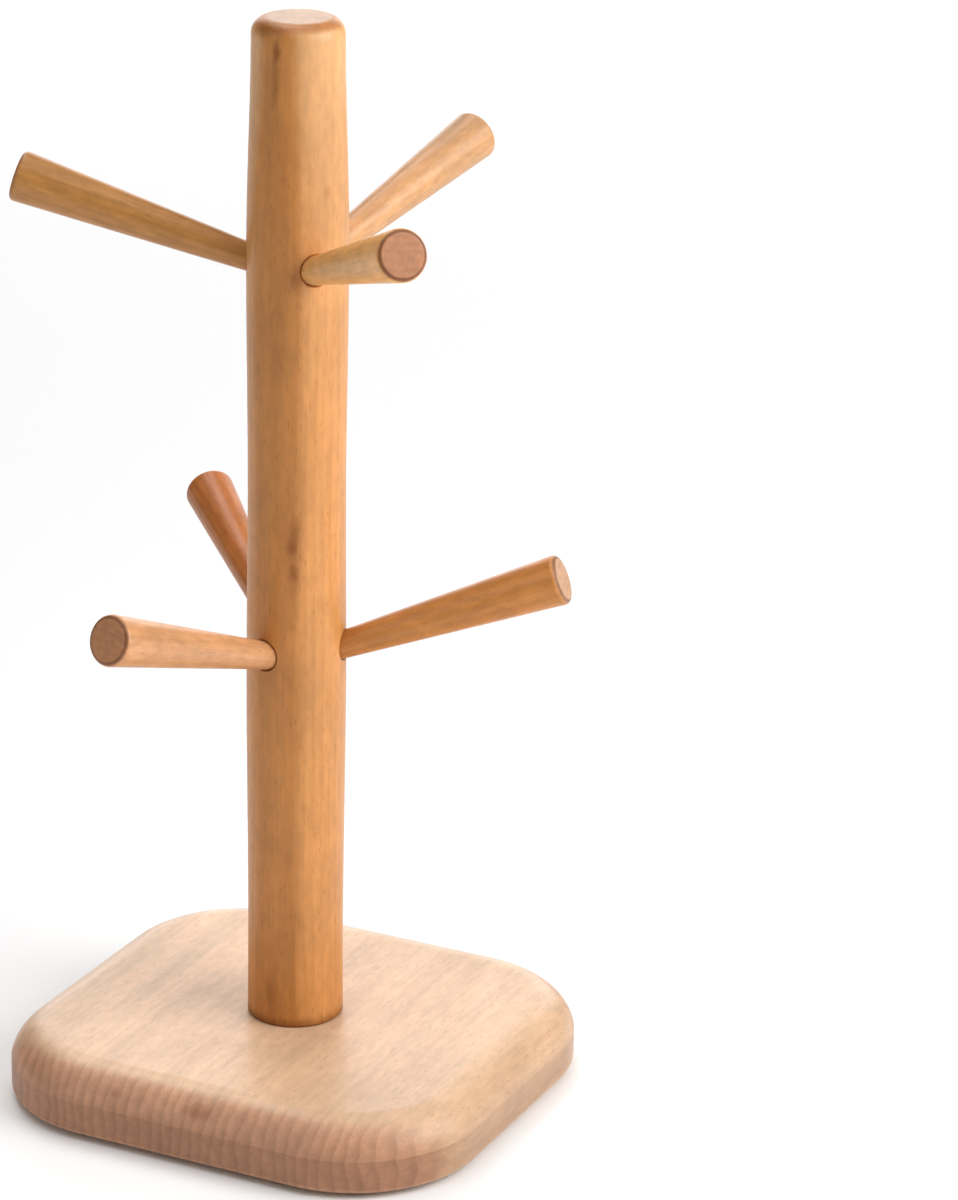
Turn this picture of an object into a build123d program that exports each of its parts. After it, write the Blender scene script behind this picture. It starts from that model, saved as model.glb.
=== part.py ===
from build123d import *

import math
import os

# A mug tree: a turned post screwed to a round-cornered board, with two tiers of three
# tapered pegs to hang mugs on.  Millimetres, +Z up.  The origin is on the surface that the
# tree stands on, under the post.  The grain of the board runs along Y.

total_height = 320.0

# Feet: thin round pads stuck under the corners of the board
foot_diameter = 16.0
foot_thickness = 1.5
foot_edge_distance = 10.0

# Board
board_width = 147.0
board_depth = 136.0
board_thickness = 20.0
board_corner_radius = 38.8
board_lower_round = 2.2
# The top edge is rounded over with a cutter set a little outside the board, so its arc
# meets the upright edge at a soft crease instead of running into it.
round_over_radius = 12.5
round_over_outset = 0.35

# Post: height above the surface and diameter there.  It swells slightly at each tier of
# pegs, and narrows above the upper one.
board_top = foot_thickness + board_thickness
post_stations = [
    (board_top, 28.1),
    (81.0, 28.1),
    (123.0, 28.7),
    (191.0, 27.9),
    (241.0, 28.7),
    (266.0, 28.4),
    (297.0, 26.7),
    (total_height, 26.1),
]
post_top_round = 4.6
post_foot_round = 0.8
post_seam_azimuth = 48.0

# Pegs: node, height where its axis meets the post's axis, azimuth and rise in degrees.
# Each tier has three, about 120 degrees apart, and the lower tier is turned by half of
# that.  The holes are drilled by eye, so azimuth and rise vary by a degree or so.
upper_tier_height = 246.8
lower_tier_height = 132.0
pegs = [
    ("upper_left_peg", upper_tier_height, 199.4, 17.4),
    ("upper_front_peg", upper_tier_height, 318.6, 18.9),
    ("upper_rear_peg", upper_tier_height, 77.3, 17.5),
    ("lower_front_peg", lower_tier_height, 256.9, 19.6),
    ("lower_right_peg", lower_tier_height, 15.4, 21.8),
    ("lower_rear_peg", lower_tier_height, 137.7, 18.3),
]
peg_reach = 83.0
peg_tip_diameter = 14.6
peg_tip_round = 1.5
peg_tenon_diameter = 7.9
peg_tenon_inset = 5.0
peg_tenon_length = 8.5
peg_tenon_chamfer = 0.6
peg_hole_diameter = 8.3
peg_hole_chamfer = 0.5

# Fixing: an M6 socket-head bolt from below, through a washer, into an insert in the post
bolt_diameter = 6.0
bolt_length = 30.0
bolt_head_diameter = 10.0
bolt_head_height = 6.0
bolt_head_chamfer = 0.5
bolt_end_chamfer = 0.8
hex_socket_width = 5.0
hex_socket_depth = 3.0
washer_diameter = 12.0
washer_hole_diameter = 6.4
washer_thickness = 1.6
counterbore_diameter = 16.0
counterbore_depth = 9.0
bolt_hole_diameter = 6.6
insert_diameter = 10.0
insert_root_diameter = 8.4
insert_length = 14.0
insert_thread_pitch = 2.0
insert_bore_diameter = 6.1
insert_hole_diameter = 10.2
bolt_end_clearance = 3.0

FROM_BELOW = (Align.CENTER, Align.CENTER, Align.MIN)


def rounded_slab(width, depth, corner_radius, thickness):
    """A round-cornered slab standing on the feet."""
    outline = RectangleRounded(width, depth, corner_radius)
    return Pos(0, 0, foot_thickness) * extrude(outline, thickness)


def rod(diameter, low, high):
    """An upright cylinder on the post's axis, between two heights."""
    return Pos(0, 0, low) * Cylinder(diameter / 2, high - low, align=FROM_BELOW)


def turned(points):
    """A solid turned about the Z axis from a closed outline of (radius, height) points."""
    outline = Polyline([(radius, height) for radius, height in points], close=True)
    return revolve(Plane.XZ * make_face(outline), Axis.Z)


def peg_plane(height, azimuth, rise):
    """The plane whose normal is a peg's axis, with its origin on the post's axis."""
    turn = math.radians(azimuth)
    lift = math.radians(rise)
    axis = (math.cos(turn) * math.cos(lift), math.sin(turn) * math.cos(lift), math.sin(lift))
    return Plane(origin=(0, 0, height), x_dir=(-math.sin(turn), math.cos(turn), 0), z_dir=axis)


def make_board():
    board = rounded_slab(board_width, board_depth, board_corner_radius, board_thickness)
    lower_edges = board.edges().group_by(Axis.Z)[0]
    board = fillet(lower_edges, board_lower_round)
    rounded = rounded_slab(
        board_width + 2 * round_over_outset,
        board_depth + 2 * round_over_outset,
        board_corner_radius + round_over_outset,
        board_thickness,
    )
    upper_edges = rounded.edges().group_by(Axis.Z)[-1]
    board = board & fillet(upper_edges, round_over_radius)
    board -= rod(counterbore_diameter, foot_thickness, foot_thickness + counterbore_depth)
    board -= rod(bolt_hole_diameter, foot_thickness, board_top)
    return board


def make_post():
    side = Spline([(diameter / 2, height) for height, diameter in post_stations])
    foot = Line((0, board_top), side @ 0)
    top = Line(side @ 1, (0, total_height))
    axis = Line(top @ 1, foot @ 0)
    section = Plane.XZ * make_face(Curve() + [foot, side, top, axis])
    post = Rot(0, 0, post_seam_azimuth) * revolve(section, Axis.Z)
    rims = post.edges().filter_by(GeomType.CIRCLE).sort_by(Axis.Z)
    post = fillet(rims[-1], post_top_round)
    rims = post.edges().filter_by(GeomType.CIRCLE).sort_by(Axis.Z)
    post = fillet(rims[0], post_foot_round)
    for _, height, azimuth, rise in pegs:
        hole = Cylinder(peg_hole_diameter / 2, peg_reach - peg_tenon_inset, align=FROM_BELOW)
        post -= peg_plane(height, azimuth, rise).location * Pos(0, 0, peg_tenon_inset) * hole
    mouths = [
        edge for edge in post.edges() if edge.is_closed and edge.geom_type != GeomType.CIRCLE
    ]
    post = chamfer(mouths, peg_hole_chamfer)
    bolt_end = foot_thickness + counterbore_depth - washer_thickness + bolt_length
    post -= rod(insert_hole_diameter, board_top, board_top + insert_length)
    post -= rod(bolt_hole_diameter, board_top, bolt_end + bolt_end_clearance)
    return post


def make_peg(height, azimuth, rise):
    """A turned peg: a short tenon, then a plain taper that is thickest at its outer end."""
    tenon_radius = peg_tenon_diameter / 2
    tenon_end = peg_tenon_inset + peg_tenon_length
    peg = turned([
        (0, peg_tenon_inset),
        (tenon_radius - peg_tenon_chamfer, peg_tenon_inset),
        (tenon_radius, peg_tenon_inset + peg_tenon_chamfer),
        (tenon_radius, tenon_end),
        (peg_tip_diameter / 2, peg_reach),
        (0, peg_reach),
    ])
    rim = peg.edges().filter_by(GeomType.CIRCLE).sort_by(Axis.Z)[-1]
    return peg_plane(height, azimuth, rise).location * fillet(rim, peg_tip_round)


def make_bolt():
    head_top = foot_thickness + counterbore_depth - washer_thickness
    head_bottom = head_top - bolt_head_height
    radius = bolt_diameter / 2
    head_radius = bolt_head_diameter / 2
    end = head_top + bolt_length
    bolt = turned([
        (0, head_bottom),
        (head_radius - bolt_head_chamfer, head_bottom),
        (head_radius, head_bottom + bolt_head_chamfer),
        (head_radius, head_top),
        (radius, head_top),
        (radius, end - bolt_end_chamfer),
        (radius - bolt_end_chamfer, end),
        (0, end),
    ])
    hexagon = RegularPolygon(hex_socket_width / 2, 6, major_radius=False)
    return bolt - Pos(0, 0, head_bottom) * extrude(hexagon, hex_socket_depth)


def make_washer():
    top = foot_thickness + counterbore_depth
    ring = rod(washer_diameter, top - washer_thickness, top)
    return ring - rod(washer_hole_diameter, top - washer_thickness, top)


def make_insert():
    """A threaded insert flush with the post's foot, its coarse outer thread drawn as rings."""
    crest = insert_diameter / 2
    root = insert_root_diameter / 2
    bore = insert_bore_diameter / 2
    outline = [(bore, board_top), (root, board_top)]
    ring_count = int(insert_length // insert_thread_pitch)
    for ring in range(ring_count):
        low = board_top + ring * insert_thread_pitch
        outline.append((root, low + 0.25 * insert_thread_pitch))
        outline.append((crest, low + 0.5 * insert_thread_pitch))
        outline.append((root, low + 0.75 * insert_thread_pitch))
    outline.append((root, board_top + insert_length))
    outline.append((bore, board_top + insert_length))
    return turned(outline)


def make_foot(side_x, side_y):
    """A pad under one corner, its edge a fixed distance inside the board's corner arc."""
    corner_x = board_width / 2 - board_corner_radius
    corner_y = board_depth / 2 - board_corner_radius
    from_corner = board_corner_radius - foot_edge_distance - foot_diameter / 2
    x = side_x * (corner_x + from_corner * math.sqrt(0.5))
    y = side_y * (corner_y + from_corner * math.sqrt(0.5))
    return Pos(x, y, 0) * Cylinder(foot_diameter / 2, foot_thickness, align=FROM_BELOW)


nodes = {
    "base_board": make_board(),
    "post": make_post(),
    "fixing_bolt": make_bolt(),
    "bolt_washer": make_washer(),
    "threaded_insert": make_insert(),
    "foot_front_left": make_foot(-1, -1),
    "foot_front_right": make_foot(1, -1),
    "foot_rear_left": make_foot(-1, 1),
    "foot_rear_right": make_foot(1, 1),
}
for peg_name, height, azimuth, rise in pegs:
    nodes[peg_name] = make_peg(height, azimuth, rise)

os.makedirs("parts", exist_ok=True)
for node_name, solid in nodes.items():
    export_step(solid, f"parts/{node_name}.step")
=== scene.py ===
"""Looks for the mug tree: oiled beech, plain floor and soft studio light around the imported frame."""
import math

import bpy
from mathutils import Matrix, Vector

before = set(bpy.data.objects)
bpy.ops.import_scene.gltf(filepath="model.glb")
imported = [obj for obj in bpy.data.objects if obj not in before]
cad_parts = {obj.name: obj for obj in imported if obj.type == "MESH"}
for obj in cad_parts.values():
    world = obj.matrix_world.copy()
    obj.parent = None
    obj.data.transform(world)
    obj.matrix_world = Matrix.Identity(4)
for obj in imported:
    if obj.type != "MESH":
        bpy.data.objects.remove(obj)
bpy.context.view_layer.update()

# Camera: a long lens, looking slightly down on the tree from its front right.  Angles are
# in degrees, azimuth from the front; distances are in metres, lens and sensor in millimetres.
CAMERA_AZIMUTH = 25.66
CAMERA_ELEVATION = 20.36
CAMERA_DISTANCE = 1.3317
CAMERA_ROLL = 1.01
CAMERA_LENS = 139.83
CAMERA_SENSOR = 36.0
TARGET_RIGHT = 0.05212
TARGET_HEIGHT = 0.1509

# The middle of the tree's height, where the softboxes aim, and the floor's width, in metres
LIT_HEIGHT = 0.16
FLOOR_SIZE = 8.0

# Millimetres in a metre: the wood's figure is set out in millimetres
MM = 1000.0


def direction(azimuth, elevation):
    """The unit vector from the object towards a camera or light at these angles."""
    turn = math.radians(azimuth)
    lift = math.radians(elevation)
    flat = math.cos(lift)
    return Vector((math.sin(turn) * flat, -math.cos(turn) * flat, math.sin(lift)))


class Graph:
    """One material's node tree, with short calls for the nodes that it uses."""

    def __init__(self, name):
        self.material = bpy.data.materials.new(name)
        self.material.use_nodes = True
        self.tree = self.material.node_tree
        self.tree.nodes.clear()

    def add(self, kind, inputs=None, **settings):
        node = self.tree.nodes.new(kind)
        for key, value in settings.items():
            setattr(node, key, value)
        for key, value in (inputs or {}).items():
            if isinstance(value, bpy.types.NodeSocket):
                self.tree.links.new(value, node.inputs[key])
            else:
                node.inputs[key].default_value = value
        return node

    def math(self, operation, first, second=0.0, clamp=False):
        node = self.add("ShaderNodeMath", {0: first, 1: second}, operation=operation, use_clamp=clamp)
        return node.outputs[0]

    def scale(self, vector, factors):
        node = self.add("ShaderNodeVectorMath", {0: vector, 1: factors}, operation="MULTIPLY")
        return node.outputs[0]

    def noise(self, vector, scale, detail=2.0, roughness=0.5):
        node = self.add(
            "ShaderNodeTexNoise",
            {"Vector": vector, "Scale": scale, "Detail": detail, "Roughness": roughness},
        )
        return node.outputs[0]

    def cells(self, vector, scale, **settings):
        return self.add("ShaderNodeTexVoronoi", {"Vector": vector, "Scale": scale}, **settings)

    def fade(self, value, start, end, low=0.0, high=1.0):
        """A smooth step of value from low at start to high at end."""
        inputs = {"Value": value, "From Min": start, "From Max": end, "To Min": low, "To Max": high}
        return self.add("ShaderNodeMapRange", inputs, interpolation_type="SMOOTHSTEP").outputs[0]

    def mix(self, factor, first, second, blend="MIX"):
        inputs = {"Factor": factor, "A": first, "B": second}
        node = self.add("ShaderNodeMix", None, data_type="RGBA", blend_type=blend)
        for socket in node.inputs:
            if socket.name in inputs and socket.type in ("RGBA", "VALUE") and socket.enabled:
                value = inputs[socket.name]
                if isinstance(value, bpy.types.NodeSocket):
                    self.tree.links.new(value, socket)
                else:
                    socket.default_value = value
        return next(socket for socket in node.outputs if socket.type == "RGBA")

    def finish(self, shader):
        output = self.add("ShaderNodeOutputMaterial")
        self.tree.links.new(shader.outputs[0], output.inputs[0])
        return self.material


def colour(red, green, blue):
    return (red, green, blue, 1.0)


def darker(tone, parts):
    """A tone with each channel cut to a part of itself."""
    return colour(*(channel * part for channel, part in zip(tone, parts)))


def grain_matrix(grain):
    """A rotation that turns the grain direction to Z."""
    return Vector(grain).rotation_difference(Vector((0, 0, 1))).to_matrix()


def wood_place(graph, grain, pith, seed):
    """Millimetres in the wood's own frame: Z along the fibres, and X and Y from the pith."""
    place = graph.add("ShaderNodeTexCoord").outputs["Object"]
    mapping = graph.add("ShaderNodeMapping", {"Vector": place}, vector_type="POINT")
    mapping.inputs["Scale"].default_value = (MM, MM, MM)
    mapping.inputs["Rotation"].default_value = grain_matrix(grain).to_euler()
    mapping.inputs["Location"].default_value = (pith[0], pith[1], seed)
    return mapping.outputs[0]


def from_pith(graph, wood):
    """Distance from the pith, in millimetres."""
    parts = graph.add("ShaderNodeSeparateXYZ", {0: wood}).outputs
    across = graph.add("ShaderNodeCombineXYZ", {0: parts[0], 1: parts[1]}).outputs[0]
    return graph.add("ShaderNodeVectorMath", {0: across}, operation="LENGTH").outputs["Value"]


def growth_rings(graph, wood, pitch):
    """Dark latewood lines: distance from the pith, warped slowly along the grain."""
    slow = graph.noise(graph.scale(wood, (1.0, 1.0, 0.12)), 0.035, 2.0)
    quick = graph.noise(graph.scale(wood, (1.0, 1.0, 0.06)), 0.16, 2.0)
    slow = graph.math("MULTIPLY", slow, 3.2 * pitch)
    quick = graph.math("MULTIPLY", quick, 0.6 * pitch)
    reach = graph.math("ADD", from_pith(graph, wood), graph.math("ADD", slow, quick))
    phase = graph.math("FRACT", graph.math("DIVIDE", reach, pitch))
    return graph.math("MULTIPLY", graph.fade(phase, 0.20, 0.86), graph.fade(phase, 1.0, 0.88))


def ray_flecks(graph, wood):
    """Short thin dashes along the grain, in some cells only."""
    flecks = graph.cells(graph.scale(wood, (1.0, 1.0, 0.22)), 0.95)
    pick = graph.add("ShaderNodeSeparateColor", {0: flecks.outputs["Color"]}).outputs[0]
    spot = graph.fade(flecks.outputs["Distance"], 0.32, 0.10)
    return graph.math("MULTIPLY", spot, graph.fade(pick, 0.30, 0.75))


def long_grain(graph, figure, flank, side, late_tone, look):
    """The tone along the fibres: rings and streaks tend to the latewood tone, flecks go darker."""
    rings = graph.math("MULTIPLY", figure["late"], look["ring_show"])
    streaks = graph.fade(figure["streak"], 0.35, 0.75, 0.0, look["streak_show"])
    flecks = graph.math("MULTIPLY", graph.math("MULTIPLY", figure["fleck"], flank), 0.5)
    tone = graph.mix(rings, colour(*side), colour(*late_tone))
    tone = graph.mix(streaks, tone, colour(*late_tone))
    return graph.mix(flecks, tone, darker(late_tone, (0.78, 0.68, 0.58)))


def end_grain(graph, wood, figure, end_tone, show):
    """The tone across the fibres: rings with fine pores between them."""
    end_late = darker(end_tone, (0.55, 0.50, 0.46))
    pores = graph.noise(graph.scale(wood, (1.0, 1.0, 0.05)), 2.4, 3.0, 0.7)
    tone = graph.mix(graph.math("MULTIPLY", figure["late"], show), colour(*end_tone), end_late)
    return graph.mix(graph.fade(pores, 0.45, 0.8, 0.0, 0.5), tone, end_late)


def heartwood(graph, wood, figure, flank, tone, look):
    """Painted shade: a darker tone within a radius of the pith; painted light: a paler tone outside it
    towards one end.
    """
    radius, heart_tone = look["heart"]
    low, high, pale_tone = look["pale"]
    height = graph.add("ShaderNodeSeparateXYZ", {0: wood}).outputs[2]
    wander = graph.math("MULTIPLY", figure["band"], 1.6)
    reach = graph.math("ADD", from_pith(graph, wood), wander)
    inside = graph.fade(reach, radius + 1.6, radius - 0.8)
    outside = graph.math("SUBTRACT", 1.0, inside)
    pale = graph.math("MULTIPLY", graph.fade(height, low, high), outside)
    heart = graph.mix(1.0, tone, colour(*heart_tone), "MULTIPLY")
    tone = graph.mix(graph.math("MULTIPLY", inside, flank), tone, heart)
    return graph.mix(graph.math("MULTIPLY", pale, flank), tone, colour(*pale_tone))


def tinted_flanks(graph, normal, tone, tint):
    """Painted shade: a deeper tone on a rounded shoulder, and deeper again on the upright edge below it.
    """
    upward = graph.add("ShaderNodeSeparateXYZ", {0: normal}).outputs[2]
    upward = graph.math("ABSOLUTE", upward)
    shoulder = graph.math("MULTIPLY", graph.fade(upward, 0.97, 0.60), 0.42)
    upright = graph.math("MULTIPLY", graph.fade(upward, 0.40, 0.08), 0.58)
    deep = graph.mix(1.0, tone, colour(*tint), "MULTIPLY")
    return graph.mix(graph.math("ADD", shoulder, upright), tone, deep)


def mottled(graph, wood, figure, tone, mottle):
    """Slow, broad and fine changes of brightness through the wood."""
    patch = graph.noise(wood, 0.045, 2.0)
    fine = graph.noise(graph.scale(wood, (1.0, 1.0, 0.40)), 0.42, 3.0, 0.6)
    shade = graph.fade(figure["band"], 0.3, 0.7, 0.92, 1.06)
    shade = graph.math("MULTIPLY", shade, graph.fade(patch, 0.3, 0.7, 0.95, 1.05))
    shade = graph.math("MULTIPLY", shade, graph.fade(fine, 0.32, 0.68, *mottle))
    grey = graph.add("ShaderNodeCombineColor", {0: shade, 1: shade, 2: shade}).outputs[0]
    return graph.mix(1.0, tone, grey, "MULTIPLY")


def burnished(graph, along, tone, tint):
    """A darker ring where a rounded edge turns into the end grain."""
    edge = graph.math("MULTIPLY", graph.fade(along, 0.40, 0.82), graph.fade(along, 0.998, 0.96))
    return graph.mix(edge, tone, graph.mix(1.0, tone, colour(*tint), "MULTIPLY"))


def stained(graph, tone, marks, mark_tone):
    """Small dark marks, natural ones and painted shade: each has a centre, half sizes and a strength, in
    millimetres.
    """
    place = graph.scale(graph.add("ShaderNodeTexCoord").outputs["Object"], (MM, MM, MM))
    ragged = graph.noise(graph.scale(place, (1.0, 1.0, 0.3)), 1.1, 3.0, 0.6)
    ragged = graph.math("MULTIPLY", ragged, 0.9)
    total = 0.0
    for centre, half, strength in marks:
        offset = graph.add("ShaderNodeVectorMath", {0: place, 1: centre}, operation="SUBTRACT")
        scaled = graph.scale(offset.outputs[0], tuple(1.0 / size for size in half))
        away = graph.add("ShaderNodeVectorMath", {0: scaled}, operation="LENGTH")
        away = graph.math("ADD", away.outputs["Value"], ragged)
        total = graph.math("MAXIMUM", total, graph.fade(away, 1.85, 0.55, 0.0, strength))
    return graph.mix(total, tone, colour(*mark_tone))


def satin(graph, tone, figure, end, roughness, coat):
    """A thin satin oil over the wood, duller on the end grain, with the fibres just in relief."""
    height = graph.math("MULTIPLY", figure["streak"], 0.6)
    height = graph.math("ADD", height, graph.math("MULTIPLY", figure["late"], 0.2))
    height = graph.math("SUBTRACT", height, graph.math("MULTIPLY", figure["fleck"], 0.25))
    bump = graph.add("ShaderNodeBump", {"Strength": 0.30, "Distance": 0.00010, "Height": height})
    rough = graph.fade(figure["streak"], 0.3, 0.8, roughness - 0.04, roughness + 0.08)
    rough = graph.math("ADD", rough, graph.math("MULTIPLY", end, 0.12))
    return graph.add("ShaderNodeBsdfPrincipled", {
        "Base Color": tone,
        "Roughness": rough,
        "Normal": bump.outputs[0],
        "IOR": 1.44,
        "Coat Weight": coat,
        "Coat Roughness": 0.30,
    })


# Beech as it looks unless a piece says otherwise.  The shows are strengths from 0 to 1;
# end_from is how squarely a surface faces along the fibres where end grain starts and where
# it is full; mottle is the range of its fine brightness; the rim tint darkens a rounded edge.
PLAIN_BEECH = {
    "ring_show": 0.4,
    "streak_show": 0.55,
    "end_show": 0.18,
    "end_from": (0.35, 0.95),
    "mottle": (0.93, 1.05),
    "burnish": (0.50, 0.42, 0.36),
    "roughness": 0.40,
    "coat": 0.08,
}


def beech(name, grain, pith, tones, **special):
    """Turned or planed beech: growth rings, fibre streaks, ray flecks and darker end grain.

    grain is the direction of the fibres, and pith is how far the frame's origin lies from the
    middle of the trunk, in millimetres across the grain.  tones are linear: the side, its
    latewood and the end grain.
    """
    look = {**PLAIN_BEECH, **special}
    side, late_tone, end_tone = tones
    graph = Graph(name)
    wood = wood_place(graph, grain, pith, look["seed"])
    figure = {
        "late": growth_rings(graph, wood, look["ring_pitch"]),
        "fleck": ray_flecks(graph, wood),
        "streak": graph.noise(graph.scale(wood, (1.0, 1.0, 0.03)), 1.3, 5.0, 0.65),
        "band": graph.noise(graph.scale(wood, (1.0, 1.0, 0.10)), 0.14, 3.0, 0.5),
    }

    normal = graph.add("ShaderNodeNewGeometry").outputs["Normal"]
    facing = graph.add("ShaderNodeVectorMath", {0: normal, 1: tuple(grain)}, operation="DOT_PRODUCT")
    along = graph.math("ABSOLUTE", facing.outputs["Value"])
    end = graph.fade(along, *look["end_from"])
    flank = graph.math("SUBTRACT", 1.0, end)

    tone = long_grain(graph, figure, flank, side, late_tone, look)
    tone = graph.mix(end, tone, end_grain(graph, wood, figure, end_tone, look["end_show"]))
    # painted shade down one side and painted light towards one end
    if "heart" in look:
        tone = heartwood(graph, wood, figure, flank, tone, look)
    # painted shade on the rounded shoulder and upright edges
    if "flank_tint" in look:
        tone = tinted_flanks(graph, normal, tone, look["flank_tint"])
    tone = mottled(graph, wood, figure, tone, look["mottle"])
    tone = burnished(graph, along, tone, look["burnish"])
    # natural marks, and on the post painted shade as well
    if "marks" in look:
        tone = stained(graph, tone, look["marks"], look["mark_tone"])
    return graph.finish(satin(graph, tone, figure, end, look["roughness"], look["coat"]))


def metal(name, tint, roughness):
    """Plated or machined metal with fine turning marks."""
    graph = Graph(name)
    place = graph.add("ShaderNodeTexCoord").outputs["Object"]
    marks = graph.noise(graph.scale(place, (MM, MM, 20 * MM)), 0.6, 3.0)
    rough = graph.fade(marks, 0.3, 0.7, roughness - 0.06, roughness + 0.08)
    bump = graph.add("ShaderNodeBump", {"Strength": 0.15, "Distance": 0.00004, "Height": marks})
    low = colour(*(channel * 0.8 for channel in tint))
    tone = graph.mix(graph.fade(marks, 0.3, 0.7), low, colour(*tint))
    shader = graph.add("ShaderNodeBsdfPrincipled", {
        "Base Color": tone,
        "Metallic": 1.0,
        "Roughness": rough,
        "Normal": bump.outputs[0],
    })
    return graph.finish(shader)


def foam_rubber(name):
    """Matt dark foam rubber with fine closed cells."""
    graph = Graph(name)
    place = graph.add("ShaderNodeTexCoord").outputs["Object"]
    pores = graph.cells(place, 2.2 * MM).outputs["Distance"]
    tone = graph.mix(graph.fade(pores, 0.1, 0.6), colour(0.012, 0.011, 0.010), colour(0.035, 0.033, 0.031))
    bump = graph.add("ShaderNodeBump", {"Strength": 0.5, "Distance": 0.0001, "Height": pores})
    shader = graph.add("ShaderNodeBsdfPrincipled", {
        "Base Color": tone,
        "Roughness": 0.85,
        "Normal": bump.outputs[0],
    })
    return graph.finish(shader)


def peg_axis(node):
    """A peg's direction, from its inner end to its tip, read from its mesh."""
    corners = [Vector(vertex.co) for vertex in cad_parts[node].data.vertices]
    middle = sum(corners, Vector()) / len(corners)
    outward = Vector((middle.x, middle.y, 0.0)).normalized()
    for _ in range(4):
        reach = sorted(corners, key=lambda corner: corner.dot(outward))
        low, high = reach[0].dot(outward), reach[-1].dot(outward)
        band = (high - low) * 0.1
        near = [corner for corner in reach if corner.dot(outward) < low + band]
        far = [corner for corner in reach if corner.dot(outward) > high - band]
        outward = (sum(far, Vector()) / len(far) - sum(near, Vector()) / len(near)).normalized()
    return outward


def dress(node, material):
    """Gives a CAD node this material in all its slots."""
    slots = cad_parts[node].data.materials
    slots.clear()
    slots.append(material)


# Natural dark marks on the post, and painted shade: the ring round the foot, the patch beside the upper
# front peg's root and the patch on the top's rounded edge
POST_MARKS = [
    ((0.3, -14.1, 312.6), (1.3, 3.0, 4.2), 0.95),
    ((0.0, -14.1, 304.5), (1.4, 3.0, 10.5), 0.55),
    ((6.0, -12.9, 174.0), (1.7, 3.0, 7.0), 0.75),
    ((5.5, -13.0, 170.8), (1.9, 3.0, 4.2), 0.95),
    ((5.8, -12.9, 163.0), (1.8, 3.0, 3.8), 0.85),
    ((5.9, -12.9, 167.0), (2.6, 3.0, 17.0), 0.38),
    ((-0.9, -14.1, 32.0), (2.0, 3.0, 7.5), 0.45),
    ((12.5, -6.4, 273.5), (0.7, 3.0, 2.0), 0.30),
    # painted shadow of the upper front peg on the post beside its root
    ((6.2, -12.9, 249.6), (1.9, 2.5, 3.6), 0.40),
    # painted contact shadow in a ring round the post's foot
    ((0.0, 0.0, 21.5), (36.0, 36.0, 3.0), 1.0),
    # painted shade on the shaded side of the top's rounded edge
    ((-2.6, -10.4, 317.9), (6.5, 3.4, 1.8), 0.90),
]
BOARD_MARKS = [
    ((3.4, -64.5, 16.8), (4.6, 6.0, 2.0), 0.50),
    ((-23.6, -64.5, 16.8), (1.2, 6.0, 1.2), 0.34),
]

# Each peg's tones: side, latewood and end grain; each set holds the peg's own wood and also painted light
# and shade for where the peg sits
PEG_TONES = {
    "upper_left_peg": ((0.55, 0.252, 0.068), (0.45, 0.187, 0.045), (0.86, 0.34, 0.10)),
    "upper_front_peg": ((0.83, 0.43, 0.150), (0.73, 0.355, 0.110), (0.46, 0.195, 0.086)),
    "upper_rear_peg": ((0.62, 0.33, 0.145), (0.55, 0.27, 0.11), (0.58, 0.29, 0.13)),
    "lower_front_peg": ((0.65, 0.327, 0.148), (0.57, 0.26, 0.108), (0.525, 0.230, 0.103)),
    "lower_right_peg": ((0.60, 0.242, 0.057), (0.51, 0.188, 0.040), (0.535, 0.296, 0.170)),
    "lower_rear_peg": ((0.51, 0.175, 0.042), (0.38, 0.105, 0.022), (0.40, 0.16, 0.055)),
}


def dress_board():
    """Pale beech with its grain along Y, so that the front and back are end grain."""
    dress("base_board", beech(
        "board_beech", (0, 1, 0), (230, 12),
        ((0.71, 0.47, 0.298), (0.60, 0.37, 0.22), (0.62, 0.33, 0.198)),
        seed=40, ring_pitch=3.6, ring_show=0.16, streak_show=0.38,
        end_show=0.36, end_from=(0.18, 0.60), burnish=(1.0, 1.0, 1.0),
        # painted shade: the shoulder and upright edges darker than the top
        flank_tint=(0.70, 0.63, 0.57), roughness=0.36, coat=0.05,
        marks=BOARD_MARKS, mark_tone=(0.22, 0.06, 0.012),
    ))


def dress_post():
    """Tan beech, with painted shade down its front, which turns from the key light, and painted light on
    the rest of it towards the top.
    """
    dress("post", beech(
        "post_beech", (0, 0, 1), (-1.4, 40),
        ((0.675, 0.30, 0.088), (0.59, 0.235, 0.062), (0.715, 0.485, 0.35)),
        seed=7, ring_pitch=2.6, end_from=(0.955, 0.998), burnish=(0.72, 0.54, 0.42),
        # painted shade down the front and painted light on the rest towards the top
        heart=(29.0, (0.86, 0.80, 0.64)), pale=(190, 420, (0.74, 0.43, 0.20)),
        marks=POST_MARKS, mark_tone=(0.27, 0.080, 0.006),
    ))


def dress_pegs():
    """Each peg has its own figure, and its own tones, which hold its wood and painted light and shade for
    where it sits.
    """
    for index, (node, tones) in enumerate(PEG_TONES.items()):
        pith = (9 + 5 * index, 21 - 6 * index)
        seed = 60 + 17 * index
        dress(node, beech(
            node + "_beech", peg_axis(node), pith, tones,
            seed=seed, ring_pitch=2.2, mottle=(0.90, 1.08),
        ))


def dress_fittings():
    steel = metal("zinc_steel", (0.60, 0.60, 0.62), 0.34)
    dress("fixing_bolt", steel)
    dress("bolt_washer", steel)
    dress("threaded_insert", metal("brass", (0.80, 0.58, 0.26), 0.30))
    rubber = foam_rubber("pad_rubber")
    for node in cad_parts:
        if node.startswith("foot_"):
            dress(node, rubber)


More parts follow.
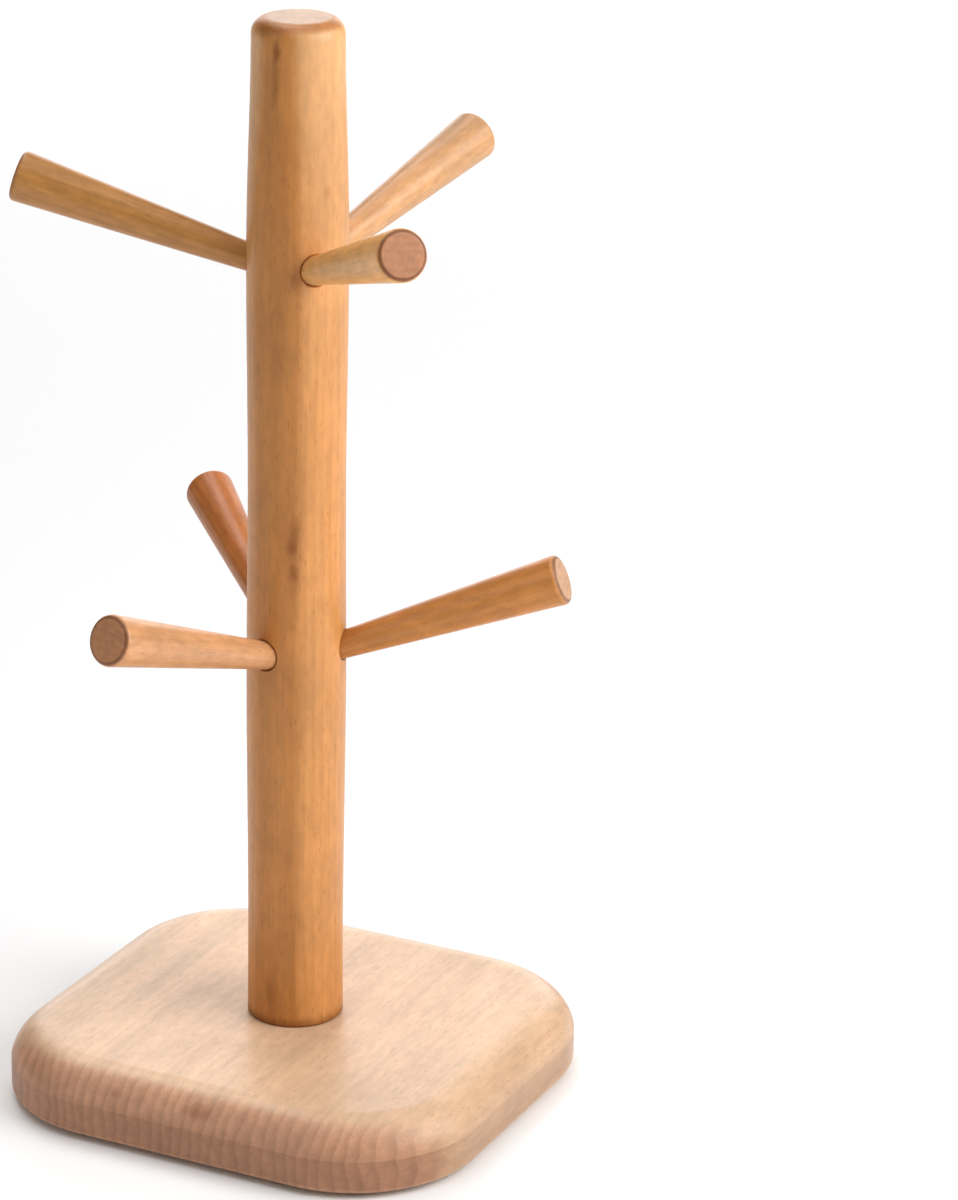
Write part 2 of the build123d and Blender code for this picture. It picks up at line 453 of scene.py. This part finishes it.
def make_floor():
    """A large pale floor that the tree stands on."""
    bpy.ops.mesh.primitive_plane_add(size=FLOOR_SIZE, location=(0, 0, 0))
    floor = bpy.context.object
    floor.name = "floor"
    graph = Graph("floor_paper")
    paper = colour(0.90, 0.90, 0.90)
    shader = graph.add("ShaderNodeBsdfPrincipled", {"Base Color": paper, "Roughness": 0.9})
    floor.data.materials.append(graph.finish(shader))


def sky_light(name, azimuth, elevation, spread, strength):
    """A broad even light, far away: spread is how wide it looks, in degrees."""
    light = bpy.data.lights.new(name, "SUN")
    light.energy = strength
    light.angle = math.radians(spread)
    lamp = bpy.data.objects.new(name, light)
    lamp.rotation_euler = direction(azimuth, elevation).to_track_quat("Z", "Y").to_euler()
    bpy.context.collection.objects.link(lamp)


def softbox(name, azimuth, elevation, distance, width, height, power):
    """A rectangular light aimed at the middle of the tree."""
    light = bpy.data.lights.new(name, "AREA")
    light.shape = "RECTANGLE"
    light.size = width
    light.size_y = height
    light.energy = power
    lamp = bpy.data.objects.new(name, light)
    towards = direction(azimuth, elevation)
    lamp.location = Vector((0, 0, LIT_HEIGHT)) + towards * distance
    lamp.rotation_euler = towards.to_track_quat("Z", "Y").to_euler()
    lamp.visible_camera = False
    bpy.context.collection.objects.link(lamp)


def make_lights():
    softbox("key", CAMERA_AZIMUTH + 69, 29, 0.95, 0.84, 0.68, 9.7)
    softbox("backdrop", CAMERA_AZIMUTH + 180, 14, 2.5, 2.2, 1.5, 25.4)
    sky_light("fill", CAMERA_AZIMUTH - 60, 30, 40, 0.52)
    sky_light("back", CAMERA_AZIMUTH - 160, 60, 30, 0.78)
    sky_light("top", CAMERA_AZIMUTH, 86, 60, 1.15)
    world = bpy.data.worlds.new("studio")
    world.use_nodes = True
    background = world.node_tree.nodes["Background"]
    background.inputs["Color"].default_value = colour(1.0, 1.0, 1.0)
    background.inputs["Strength"].default_value = 0.03
    bpy.context.scene.world = world


def make_camera():
    data = bpy.data.cameras.new("camera")
    data.lens = CAMERA_LENS
    data.sensor_width = CAMERA_SENSOR
    data.sensor_fit = "AUTO"
    camera = bpy.data.objects.new("camera", data)
    back = direction(CAMERA_AZIMUTH, CAMERA_ELEVATION)
    turn = math.radians(CAMERA_AZIMUTH)
    right = Vector((math.cos(turn), math.sin(turn), 0.0))
    up = back.cross(right)
    roll = math.radians(CAMERA_ROLL)
    rolled_right = right * math.cos(roll) + up * math.sin(roll)
    rolled_up = up * math.cos(roll) - right * math.sin(roll)
    target = right * TARGET_RIGHT + Vector((0, 0, TARGET_HEIGHT))
    facing = Matrix((rolled_right, rolled_up, back)).transposed()
    camera.matrix_world = Matrix.Translation(target + back * CAMERA_DISTANCE) @ facing.to_4x4()
    bpy.context.collection.objects.link(camera)
    bpy.context.scene.camera = camera


make_camera()
make_lights()
make_floor()
dress_board()
dress_post()
dress_pegs()
dress_fittings()
bpy.context.scene.view_settings.view_transform = "Standard"
